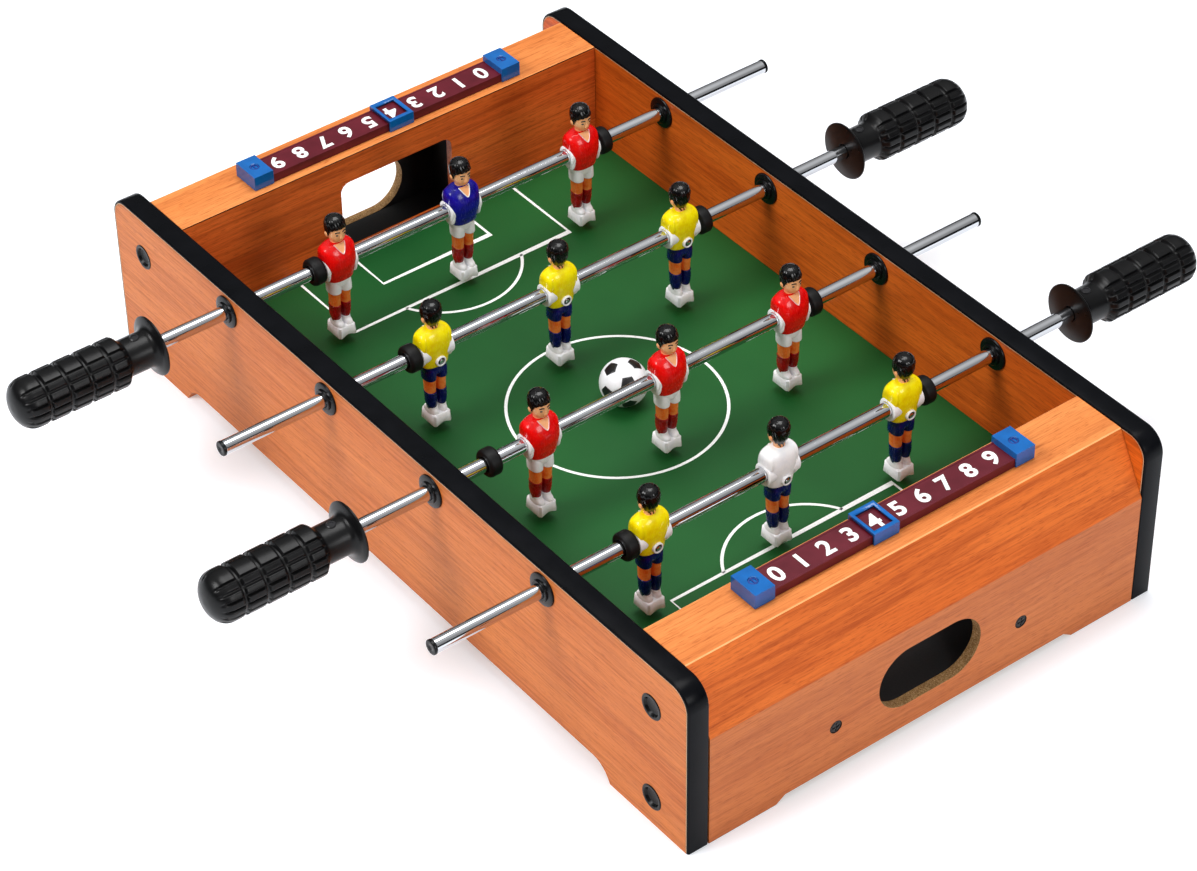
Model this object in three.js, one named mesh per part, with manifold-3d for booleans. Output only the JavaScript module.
// A tabletop foosball table: a wooden cabinet with four player rods that slide and spin,
// a ball, and a counting strip with a sliding marker on each end rail.
//
// Units are millimetres and +Z is up. X runs along the table, Y runs along the rods, and
// the origin is the middle of the cabinet's footprint on the surface it stands on.

import * as THREE from "three";
import { mergeVertices } from "three/addons/utils/BufferGeometryUtils.js";
import Module from "manifold-3d";

const wasm = await Module();
wasm.setup();

// ---------------------------------------------------------------- driving dimensions

const fitGap = 0.3; // clearance left where two pieces meet

// Cabinet
const cabinetLength = 508;
const cabinetWidth = 308;
const cabinetHeight = 106;
const sideThickness = 12.7;
const bandThickness = 1.5; // black edging round the side panels
const bandBevel = 0.4;
const cornerRadius = 13;
const footHeight = 10; // gap under the side panels, between their feet
const footLength = 62;
const footSlope = 14; // length of the curved run from foot to gap

// Folded board at each end
const endBoard = 6;
const railWidth = 32.7;
const railDrop = 1; // the rail's top lies this far below the side panels' top
const slopeRun = 19;
const frontHeight = 70.7; // height of the upright front of the end board
const endFootWidth = 42;
const endFootHeight = 4;
const endFootSlope = 6;

// Goals, and the openings that the ball comes back through
const goalBoard = 5;
const goalWidth = 76;
const goalHeight = 47.5;
const goalCornerRadius = 6;
const ovalWidth = 67;
const ovalHeight = 38;
const trayWall = 12;
const trayBeyondGoal = 17.3; // from the goal's edge to the tray's side wall
const trayFloor = 5.5;
const trayFloorTop = 19;

// Screws
const sideScrewInset = 28.5; // from the end of the cabinet
const sideScrewLow = 17.7;
const sideScrewBelowTop = 27.4;
const sideScrewRadius = 7;
const endScrewHeight = 31;
const endScrewRadius = 3.8;
const screwRecess = 2;
const cornerBlock = 18;

// Playing field
const fieldThickness = 6;
const grooveDepth = 4;

// Rods and bearings
const rodDrop = 12.7; // from the side panels' top down to the rods' centre
const rodPitch = 93.3;
const rodRadius = 4;
const rodWall = 1;
const bearingWall = 3.2;
const flangeLip = 1.9;
const flangeThickness = 1.4;
const collarWall = 1.9;
const collarLength = 1.2;
const bumperWall = 3.5;
const bumperLength = 7.5;
const bumperEdge = 1.6;
const tailLength = 22.5; // of rod left outside the bearing at the end of its travel
const handleStandOff = 6.5; // left between handle and bearing at the end of its travel
const plugLip = 0.2; // how far the end plug's head stands out round the rod
const plugHead = 1.4;
const plugEdge = 0.5;
const plugStem = 6;

// Handle
const handleLength = 86.5;
const guardRadius = 16.9;
const guardThickness = 1.8;
const neckRadius = 10.4;
const neckLength = 17;
const gripRadius = 14.2;
const gripRings = 5;
const gripEndLength = 7;
const gripEndFlat = 6; // radius of the flat tip
const gripStep = 1.5;
const ringGrooveDepth = 1;
const ringGrooveWidth = 1.6;
const handleBore = 60;

// Player figures
const playerPitch = 83;
const hubHalf = 10.3; // half the length of rod that a figure covers
const headTop = 31.2; // this and the other heights are from the rod's centre
const headHeight = 15.4;
const headWidth = 12;
const headDepth = 12.8;
const neckHalf = 3.3;
const neckHeight = 16;
const shoulderHeight = 13;
const shoulderHalf = 10.6;
const shoulderRound = 4;
const elbowDepth = 5;
const waistDepth = 9;
const hipHalf = 7.6;
const shortsDepth = 18;
const kneeHalf = 6;
const ankleHalf = 5.2;
const chestWall = 2.9; // either side of the rod
const torsoBevel = 2;
const legThickness = 7;
const legBevel = 1;
const footReach = 47.8; // down to the sole
const footBlockHeight = 7;
const footBlockLength = 13.5;
const footBlockWidth = 11.5;
const footBevel = 1.2;
const soleClearance = 5.5; // from the sole to the field

// Ball
const ballRadius = 13.4;
const ballOffCentre = 4.5;

// Counting strip
const stripWidth = 17;
const stripThickness = 5;
const stripInset = 5.2; // from the rail's inner edge
const digitPitch = 15.5;
const digitCount = 10;
const digitShown = 4;
const endPieceLength = 12.4;
const endPieceWidth = 18.6;
const endPieceHeight = 8.6;
const markerLength = 16.2;
const markerWidth = 20;
const markerHeight = 8;
const windowLength = 10.4;
const windowWidth = 12.4;
const smallBevel = 0.8;

// The rods from the far end to the near end. A red rod has its handle on the -Y side and
// its players look towards +X; a yellow rod is the same assembly turned half round.
const rodPlan = [
  { name: "red_defence", turned: false, shift: 0, keeper: true },
  { name: "yellow_attack", turned: true, shift: -3, keeper: false },
  { name: "red_attack", turned: false, shift: -3, keeper: false },
  { name: "yellow_defence", turned: true, shift: -5, keeper: true },
];
const looseBumperRod = "red_attack"; // its handle-side bumper has slid away from the player

// ---------------------------------------------------------------- worked-out dimensions

const halfLength = cabinetLength / 2;
const halfWidth = cabinetWidth / 2;
const innerHalf = halfWidth - sideThickness;
const archHalf = halfLength - footLength;
const archBend = footSlope / 3;
const railTop = cabinetHeight - railDrop;
const railOuter = halfLength - slopeRun;
const railInner = railOuter - railWidth;
const trayWallY = goalWidth / 2 + trayBeyondGoal + trayWall / 2; // middle of a side wall
const rodHeight = cabinetHeight - rodDrop;
const fieldTop = rodHeight - footReach - soleClearance;
const goalTop = fieldTop + goalHeight;
const boreRadius = rodRadius + fitGap;
const bearingRadius = boreRadius + bearingWall;
const flangeRadius = bearingRadius + flangeLip;
const collarRadius = boreRadius + collarWall;
const bumperRadius = boreRadius + bumperWall;
const plugRadius = rodRadius + plugLip;
const stemRadius = rodRadius - rodWall - fitGap;
const screwX = halfLength - sideScrewInset;
const sideScrewHigh = cabinetHeight - sideScrewBelowTop;

const playersOuter = playerPitch + hubHalf;
const bumperInner = playersOuter + fitGap;
const bumperOuter = bumperInner + bumperLength;
const bearingInner = innerHalf - flangeThickness - collarLength;
const bearingOuter = halfWidth + flangeThickness + collarLength;
const rodTravel = bearingInner - fitGap - bumperOuter; // each way from the middle
const guardFace = bearingOuter + rodTravel + handleStandOff;
const tailEnd = bearingOuter + rodTravel + tailLength;

// ---------------------------------------------------------------- materials

const finish = (color, roughness, metalness = 0) =>
  new THREE.MeshStandardMaterial({ color, roughness, metalness });

const materials = {
  wood: () => finish(0xd9895a, 0.45),
  rail: () => finish(0xe2995f, 0.45),
  edging: () => finish(0x1c1c20, 0.5),
  field: () => finish(0x1f6a38, 0.5),
  blackBoard: () => finish(0x101012, 0.8),
  chrome: () => finish(0xd8dadd, 0.15, 1),
  blackPlastic: () => finish(0x16161a, 0.4),
  rubber: () => finish(0x18181a, 0.8),
  red: () => finish(0xd01414, 0.25),
  navy: () => finish(0x14206a, 0.25),
  yellow: () => finish(0xf2d60c, 0.25),
  white: () => finish(0xf2f2f0, 0.25),
  maroon: () => finish(0x5e1826, 0.4),
  blue: () => finish(0x1f5fc0, 0.25),
};

// ---------------------------------------------------------------- geometry helpers

// Shapes are drawn flat and extruded; these turn the drawing's plane upright.
const facingX = new THREE.Matrix4().makeBasis(
  new THREE.Vector3(0, 1, 0),
  new THREE.Vector3(0, 0, 1),
  new THREE.Vector3(1, 0, 0)
);
const facingY = new THREE.Matrix4().makeBasis(
  new THREE.Vector3(1, 0, 0),
  new THREE.Vector3(0, 0, 1),
  new THREE.Vector3(0, -1, 0)
);

function outline(points) {
  return new THREE.Shape(points.map(([x, y]) => new THREE.Vector2(x, y)));
}

// Extrudes a shape evenly about its own plane, with the bevel kept inside its outline.
function prism(shape, depth, { bevel = 0, curveSegments = 5 } = {}) {
  const geometry = new THREE.ExtrudeGeometry(shape, {
    depth: depth - 2 * bevel,
    bevelEnabled: bevel > 0,
    bevelThickness: bevel,
    bevelSize: bevel,
    bevelOffset: -bevel,
    bevelSegments: 1,
    curveSegments,
  });
  return geometry.translate(0, 0, bevel - depth / 2);
}

// A prism drawn in the YZ plane and extruded along X.
function prismAlongX(shape, depth, options) {
  return prism(shape, depth, options).applyMatrix4(facingX);
}

// A prism drawn in the XZ plane and extruded along Y.
function prismAlongY(shape, depth, options) {
  return prism(shape, depth, options).applyMatrix4(facingY);
}

function roundedBox(length, width, height, bevel) {
  const x = length / 2;
  const y = width / 2;
  const shape = outline([[-x, -y], [x, -y], [x, y], [-x, y]]);
  return prism(shape, height, { bevel });
}

function box(length, width, height) {
  return new THREE.BoxGeometry(length, width, height);
}

// A cylinder lying along Y, or along X when turned.
function drillAlongY(radius, depth, sides) {
  return new THREE.CylinderGeometry(radius, radius, depth, sides);
}

function drillAlongX(radius, depth, sides) {
  return drillAlongY(radius, depth, sides).rotateZ(Math.PI / 2);
}

// Turns a closed profile of [radius, y] points about the Y axis. A profile that doesn't
// start on the axis is closed on itself, which leaves a bore.
function turned(profile, sides) {
  const points = profile.map(([r, y]) => new THREE.Vector2(r, y));
  if (profile[0][0] > 0) {
    points.push(points[0].clone());
  }
  return new THREE.LatheGeometry(points, sides);
}

function toSolid(geometry) {
  const bare = geometry.clone();
  bare.deleteAttribute("normal");
  bare.deleteAttribute("uv");
  const merged = mergeVertices(bare, 1e-4);
  const mesh = new wasm.Mesh({
    numProp: 3,
    vertProperties: new Float32Array(merged.attributes.position.array),
    triVerts: new Uint32Array(merged.index.array),
  });
  return new wasm.Manifold(mesh);
}

function toGeometry(solid) {
  const mesh = solid.getMesh();
  const geometry = new THREE.BufferGeometry();
  const positions = new Float32Array(mesh.vertProperties);
  geometry.setAttribute("position", new THREE.BufferAttribute(positions, 3));
  geometry.setIndex(new THREE.BufferAttribute(new Uint32Array(mesh.triVerts), 1));
  geometry.computeVertexNormals();
  return geometry;
}

// Joins every geometry in add, then cuts away every geometry in cut.
function carve(add, cut = []) {
  const joined = add.map(toSolid).reduce((a, b) => a.add(b));
  return toGeometry(cut.map(toSolid).reduce((a, b) => a.subtract(b), joined));
}

// Moves an open run of [x, z] points sideways, to the right of its direction, with
// mitred corners.
function offsetRun(points, distance) {
  const normals = points.slice(1).map(([x, z], i) => {
    const dx = x - points[i][0];
    const dz = z - points[i][1];
    const length = Math.hypot(dx, dz);
    return [dz / length, -dx / length];
  });
  return points.map(([x, z], i) => {
    const before = normals[Math.max(i - 1, 0)];
    const after = normals[Math.min(i, normals.length - 1)];
    const sum = [before[0] + after[0], before[1] + after[1]];
    const scale = (2 * distance) / (sum[0] ** 2 + sum[1] ** 2);
    return [x + sum[0] * scale, z + sum[1] * scale];
  });
}

function part(name, geometry, material) {
  const mesh = new THREE.Mesh(geometry, material);
  mesh.name = name;
  return mesh;
}

function placed(object, x, y, z) {
  object.position.set(x, y, z);
  return object;
}

// ---------------------------------------------------------------- side panels

// The side panel's outline: rounded top corners, and a foot at each end of a low arch.
function panelShape() {
  const inset = bandThickness + fitGap;
  const half = halfLength - inset;
  const top = cabinetHeight - inset;
  const radius = cornerRadius - inset;
  const shape = new THREE.Shape();
  shape.moveTo(half, 0);
  shape.lineTo(half, top - radius);
  shape.absarc(half - radius, top - radius, radius, 0, Math.PI / 2, false);
  shape.absarc(radius - half, top - radius, radius, Math.PI / 2, Math.PI, false);
  shape.lineTo(-half, 0);
  shape.lineTo(-archHalf, 0);
  shape.quadraticCurveTo(-archHalf + archBend, footHeight, -archHalf + footSlope, footHeight);
  shape.lineTo(archHalf - footSlope, footHeight);
  shape.quadraticCurveTo(archHalf - archBend, footHeight, archHalf, 0);
  for (const x of rodPositions()) {
    const hole = new THREE.Path();
    hole.absarc(x, rodHeight, bearingRadius + fitGap, 0, 2 * Math.PI, true);
    shape.holes.push(hole);
  }
  return shape;
}

function rodPositions() {
  return rodPlan.map((_, i) => (i - (rodPlan.length - 1) / 2) * rodPitch);
}

// side is -1 for the panel at -Y and 1 for the panel at +Y.
function sidePanel(side) {
  const middle = side * (halfWidth - sideThickness / 2);
  const board = prismAlongY(panelShape(), sideThickness, { curveSegments: 6 });
  const outerFace = (side * sideThickness) / 2;
  const groove = box(
    2 * (railInner + fitGap),
    2 * grooveDepth,
    fieldThickness + 2 * fitGap
  ).translate(0, -outerFace, fieldTop - fieldThickness / 2);
  const recesses = [-screwX, screwX].flatMap((x) =>
    [sideScrewLow, sideScrewHigh].map((z) =>
      drillAlongY(sideScrewRadius, 2 * screwRecess, 12).translate(x, outerFace, z)
    )
  );
  const name = side < 0 ? "side_panel_left" : "side_panel_right";
  return placed(part(name, carve([board], [groove, ...recesses]), materials.wood()), 0, middle, 0);
}

function edgeBand(side) {
  const outer = halfLength;
  const inner = halfLength - bandThickness;
  const radius = cornerRadius;
  const innerRadius = cornerRadius - bandThickness;
  const arcZ = cabinetHeight - cornerRadius;
  const shape = new THREE.Shape();
  shape.moveTo(outer, fitGap);
  shape.lineTo(outer, arcZ);
  shape.absarc(outer - radius, arcZ, radius, 0, Math.PI / 2, false);
  shape.absarc(radius - outer, arcZ, radius, Math.PI / 2, Math.PI, false);
  shape.lineTo(-outer, fitGap);
  shape.lineTo(-inner, fitGap);
  shape.lineTo(-inner, arcZ);
  shape.absarc(innerRadius - inner, arcZ, innerRadius, Math.PI, Math.PI / 2, true);
  shape.absarc(inner - innerRadius, arcZ, innerRadius, Math.PI / 2, 0, true);
  shape.lineTo(inner, fitGap);
  const strip = prismAlongY(shape, sideThickness, { bevel: bandBevel, curveSegments: 4 });
  const name = side < 0 ? "edge_band_left" : "edge_band_right";
  const middle = side * (halfWidth - sideThickness / 2);
  return placed(part(name, strip, materials.edging()), 0, middle, 0);
}

// ---------------------------------------------------------------- end boards and goals

// The outside of the folded end board, from the rail's inner edge down to the floor.
const endRun = [
  [railInner, railTop],
  [railOuter, railTop],
  [halfLength, frontHeight],
  [halfLength, 0],
];
const endInside = offsetRun(endRun, endBoard);
const endSpan = 2 * (innerHalf - fitGap);

function ovalShape() {
  const radius = ovalHeight / 2;
  const straight = ovalWidth / 2 - radius;
  const z = trayFloorTop + radius;
  const shape = new THREE.Shape();
  shape.absarc(straight, z, radius, -Math.PI / 2, Math.PI / 2, false);
  shape.absarc(-straight, z, radius, Math.PI / 2, (3 * Math.PI) / 2, false);
  return shape;
}

function endArchShape() {
  const half = innerHalf - endFootWidth;
  return outline([
    [-half, -endBoard],
    [half, -endBoard],
    [half, 0],
    [half - endFootSlope, endFootHeight],
    [endFootSlope - half, endFootHeight],
    [-half, 0],
  ]);
}

// The board is folded from one piece: rail, slope and upright front. Two glued blocks
// inside it take the side panels' screws.
function endShell(name) {
  const mitre = [endInside[0][0] + endBoard, endInside[0][1]];
  const section = outline([...endRun, ...endInside.slice(1).reverse(), mitre]);
  const board = prismAlongY(section, endSpan);
  const blockStart = screwX - cornerBlock / 2;
  const blockShape = outline([
    [blockStart, endFootHeight],
    [halfLength - endBoard / 2, endFootHeight],
    [halfLength - endBoard / 2, frontHeight - endBoard],
    [railOuter - endBoard / 2, railTop - endBoard / 2],
    [blockStart, railTop - endBoard / 2],
  ]);
  const blocks = [-1, 1].map((side) => {
    const y = (side * (endSpan - cornerBlock)) / 2;
    return prismAlongY(blockShape, cornerBlock).translate(0, y, 0);
  });
  const oval = prismAlongX(ovalShape(), 4 * endBoard, { curveSegments: 10 });
  const arch = prismAlongX(endArchShape(), 4 * endBoard);
  const recesses = [-1, 1].map((side) =>
    drillAlongX(endScrewRadius, 2 * screwRecess, 8).translate(
      halfLength,
      side * trayWallY,
      endScrewHeight
    )
  );
  oval.translate(halfLength, 0, 0);
  arch.translate(halfLength, 0, 0);
  const geometry = carve([board, ...blocks], [oval, arch, ...recesses]);
  return part(name, geometry, materials.rail());
}

function goalShape() {
  const half = goalWidth / 2;
  const radius = goalCornerRadius;
  const shape = new THREE.Shape();
  shape.moveTo(-half, fieldTop);
  shape.lineTo(half, fieldTop);
  shape.lineTo(half, goalTop - radius);
  shape.absarc(half - radius, goalTop - radius, radius, 0, Math.PI / 2, false);
  shape.absarc(radius - half, goalTop - radius, radius, Math.PI / 2, Math.PI, false);
  return shape;
}

// The goal wall's top is mitred to the rail's inner edge.
function goalWall(name) {
  const bottom = trayFloorTop + fitGap;
  const top = railTop - 2 * fitGap;
  const section = outline([
    [railInner, bottom],
    [railInner + goalBoard, bottom],
    [railInner + goalBoard, top - goalBoard],
    [railInner, top],
  ]);
  const board = prismAlongY(section, endSpan);
  const opening = prismAlongX(goalShape(), 4 * goalBoard).translate(railInner, 0, 0);
  return part(name, carve([board], [opening]), materials.wood());
}

// The ball drops into a black tray behind the goal: a floor between two side walls.
function ballTray(name) {
  const back = railInner + goalBoard + fitGap;
  const inside = offsetRun(endRun, endBoard + fitGap);
  const wallShape = outline([
    [back, trayFloorTop - trayFloor],
    [inside[3][0], trayFloorTop - trayFloor],
    [inside[2][0], inside[2][1]],
    [inside[1][0], inside[1][1]],
    [back, inside[1][1]],
  ]);
  const walls = [-1, 1].map((side) =>
    prismAlongY(wallShape, trayWall).translate(0, side * trayWallY, 0)
  );
  const length = inside[3][0] - back;
  const floor = box(length, 2 * trayWallY, trayFloor);
  floor.translate(back + length / 2, 0, trayFloorTop - trayFloor / 2);
  return part(name, carve([floor, ...walls]), materials.blackBoard());
}

function playfield() {
  const length = 2 * (railInner - fitGap);
  const width = 2 * (innerHalf + grooveDepth - fitGap);
  const board = part("playfield", box(length, width, fieldThickness), materials.field());
  return placed(board, 0, 0, fieldTop - fieldThickness / 2);
}

// ---------------------------------------------------------------- counting strip

const stripX = railInner + stripInset + stripWidth / 2;
const endPieceInner = ((digitCount - 1) / 2) * digitPitch + markerLength / 2 + fitGap;
const pocketDepth = endPieceLength / 2;

function countingStrip(name) {
  const length = 2 * (endPieceInner + pocketDepth - fitGap);
  const strip = part(name, box(stripWidth, length, stripThickness), materials.maroon());
  return placed(strip, stripX, 0, railTop + fitGap + stripThickness / 2);
}

// A blue end piece: a bevelled block with a pocket that holds the end of the strip.
function endPiece(name, side) {
  const block = roundedBox(endPieceWidth, endPieceLength, endPieceHeight, smallBevel);
  const pocket = box(
    stripWidth + 2 * fitGap,
    2 * pocketDepth,
    2 * (stripThickness + fitGap)
  ).translate(0, (-side * endPieceLength) / 2, -endPieceHeight / 2);
  const y = side * (endPieceInner + endPieceLength / 2);
  const piece = part(name, carve([block], [pocket]), materials.blue());
  return placed(piece, stripX, y, railTop + fitGap + endPieceHeight / 2);
}

// The marker straddles the strip and frames one digit in its window.
function marker(name) {
  const block = roundedBox(markerWidth, markerLength, markerHeight, smallBevel);
  const channel = box(
    stripWidth + 2 * fitGap,
    2 * markerLength,
    2 * (stripThickness + fitGap)
  ).translate(0, 0, -markerHeight / 2);
  const window = box(windowWidth, windowLength, 2 * markerHeight);
  const piece = part(name, carve([block], [channel, window]), materials.blue());
  const y = (digitShown - (digitCount - 1) / 2) * digitPitch;
  return placed(piece, stripX, y, railTop + fitGap + markerHeight / 2);
}

// One complete end of the table, built for +X; the other end is the same turned half round.
function tableEnd(end) {
  const group = new THREE.Group();
  group.add(endShell(`end_shell_${end}`));
  group.add(goalWall(`goal_wall_${end}`));
  group.add(ballTray(`ball_tray_${end}`));
  group.add(countingStrip(`score_strip_${end}`));
  group.add(endPiece(`score_end_piece_low_${end}`, -1));
  group.add(endPiece(`score_end_piece_high_${end}`, 1));
  group.add(marker(`score_marker_${end}`));
  return group;
}

// ---------------------------------------------------------------- rods and what they carry

// A two-flanged bearing through a side panel, with a raised collar round the rod.
function bearing(name, x, side) {
  const flange = flangeThickness;
  const collar = flange + collarLength;
  const half = sideThickness / 2;
  const profile = [
    [boreRadius, -half - collar],
    [collarRadius, -half - collar],
    [collarRadius, -half - flange],
    [flangeRadius, -half - flange],
    [flangeRadius, -half - fitGap],
    [bearingRadius, -half - fitGap],
    [bearingRadius, half + fitGap],
    [flangeRadius, half + fitGap],
    [flangeRadius, half + flange],
    [collarRadius, half + flange],
    [collarRadius, half + collar],
    [boreRadius, half + collar],
  ];
  const piece = part(name, turned(profile, 12), materials.blackPlastic());
  return placed(piece, x, side * (halfWidth - half), rodHeight);
}

function rodTube() {
  const start = -(guardFace + handleBore - fitGap);
  const end = tailEnd - plugHead - fitGap;
  const inner = rodRadius - rodWall;
  const profile = [
    [inner, start],
    [rodRadius, start],
    [rodRadius, end],
    [inner, end],
  ];
  return turned(profile, 16);
}

// A push-in plug that closes the tube's free end.
function endPlug() {
  const shoulder = tailEnd - plugHead;
  const profile = [
    [0, shoulder - plugStem],
    [stemRadius, shoulder - plugStem],
    [stemRadius, shoulder],
    [plugRadius, shoulder],
    [plugRadius, tailEnd - plugEdge],
    [plugRadius - plugEdge, tailEnd],
    [0, tailEnd],
  ];
  return turned(profile, 16);
}

function bumper() {
  const half = bumperLength / 2;
  const profile = [
    [boreRadius, -half],
    [bumperRadius - bumperEdge, -half],
    [bumperRadius, bumperEdge - half],
    [bumperRadius, half - bumperEdge],
    [bumperRadius - bumperEdge, half],
    [boreRadius, half],
  ];
  return turned(profile, 14);
}

// The handle points along -Y from its guard. Its grip has ring grooves and a domed end.
function handle() {
  const gripStart = neckLength + guardThickness;
  const gripEnd = handleLength - gripEndLength;
  const ringPitch = (gripEnd - gripStart) / gripRings;
  const profile = [
    [0, -handleBore],
    [boreRadius, -handleBore],
    [boreRadius, 0],
    [guardRadius, 0],
    [guardRadius, -guardThickness],
    [neckRadius, -guardThickness],
    [neckRadius, -gripStart],
    [gripRadius, -gripStart - gripStep],
  ];
  for (let ring = 1; ring < gripRings; ring += 1) {
    const y = -(gripStart + ring * ringPitch);
    profile.push([gripRadius, y + ringGrooveWidth / 2]);
    profile.push([gripRadius - ringGrooveDepth, y]);
    profile.push([gripRadius, y - ringGrooveWidth / 2]);
  }
  profile.push([gripRadius, -gripEnd]);
  profile.push([gripEndFlat, -handleLength]);
  profile.push([0, -handleLength]);
  return turned(profile.reverse(), 16);
}

// A figure facing +X. The rod passes through its chest.
function figure() {
  const mirrored = (half) => [...half, ...half.map(([y, z]) => [-y, z]).reverse()];
  const torsoSide = [
    [neckHalf, neckHeight],
    [neckHalf, shoulderHeight],
    [shoulderHalf - shoulderRound, shoulderHeight],
    [shoulderHalf, shoulderHeight - shoulderRound],
    [hubHalf, -elbowDepth],
    [hipHalf, -waistDepth],
  ];
  const ankle = footReach - footBlockHeight;
  const legSide = [
    [hipHalf, -waistDepth + legBevel],
    [hipHalf, -shortsDepth],
    [kneeHalf, -shortsDepth - legBevel],
    [ankleHalf, -ankle - legBevel],
  ];
  const torsoThickness = 2 * (boreRadius + chestWall);
  const torso = prismAlongX(outline(mirrored(torsoSide)), torsoThickness, { bevel: torsoBevel });
  const legs = prismAlongX(outline(mirrored(legSide)), legThickness, { bevel: legBevel });
  const foot = roundedBox(footBlockLength, footBlockWidth, footBlockHeight, footBevel);
  foot.translate(0, 0, footBlockHeight / 2 - footReach);
  const head = new THREE.SphereGeometry(1, 8, 6).rotateX(Math.PI / 2);
  head.scale(headDepth / 2, headWidth / 2, headHeight / 2);
  head.translate(0, 0, headTop - headHeight / 2);
  return carve([torso, legs, foot, head], [drillAlongY(boreRadius, 4 * hubHalf, 12)]);
}

function shirt(plan, index) {
  if (plan.keeper && index === 1) {
    return plan.turned ? materials.white() : materials.navy();
  }
  return plan.turned ? materials.yellow() : materials.red();
}

function playerRod(plan) {
  const group = new THREE.Group();
  group.add(part(`rod_${plan.name}`, rodTube(), materials.chrome()));
  group.add(part(`rod_end_cap_${plan.name}`, endPlug(), materials.blackPlastic()));
  const grip = part(`handle_${plan.name}`, handle(), materials.blackPlastic());
  group.add(placed(grip, 0, -guardFace, 0));
  for (const index of [0, 1, 2]) {
    const keeper = plan.keeper && index === 1;
    const name = keeper ? `keeper_${plan.name}` : `player_${plan.name}_${index + 1}`;
    const player = part(name, figure(), shirt(plan, index));
    group.add(placed(player, 0, (index - 1) * playerPitch, 0));
  }
  // The loose bumper lies midway between its player and the bearing.
  const slip = plan.name === looseBumperRod ? (rodTravel + plan.shift) / 2 : 0;
  const middle = bumperInner + bumperLength / 2;
  const near = part(`bumper_handle_side_${plan.name}`, bumper(), materials.rubber());
  group.add(placed(near, 0, -middle - slip, 0));
  const far = part(`bumper_tail_side_${plan.name}`, bumper(), materials.rubber());
  group.add(placed(far, 0, middle, 0));
  return group;
}

function ball() {
  const sphere = new THREE.SphereGeometry(ballRadius, 16, 10).rotateX(Math.PI / 2);
  const height = fieldTop + fitGap + ballRadius;
  return placed(part("ball", sphere, materials.white()), 0, ballOffCentre, height);
}

// ---------------------------------------------------------------- assembly

function buildTable() {
  const table = new THREE.Group();
  for (const side of [-1, 1]) {
    table.add(sidePanel(side));
    table.add(edgeBand(side));
  }
  const nearEnd = tableEnd("near");
  const farEnd = tableEnd("far");
  farEnd.rotation.z = Math.PI;
  table.add(nearEnd, farEnd, playfield(), ball());

  rodPositions().forEach((x, i) => {
    const plan = rodPlan[i];
    const rod = playerRod(plan);
    rod.rotation.z = plan.turned ? Math.PI : 0;
    table.add(placed(rod, x, plan.shift, rodHeight));
    for (const side of [-1, 1]) {
      const handleSide = side < 0 !== plan.turned;
      const where = handleSide ? "handle_side" : "tail_side";
      table.add(bearing(`bearing_${where}_${plan.name}`, x, side));
    }
  });
  return table;
}

export default buildTable();
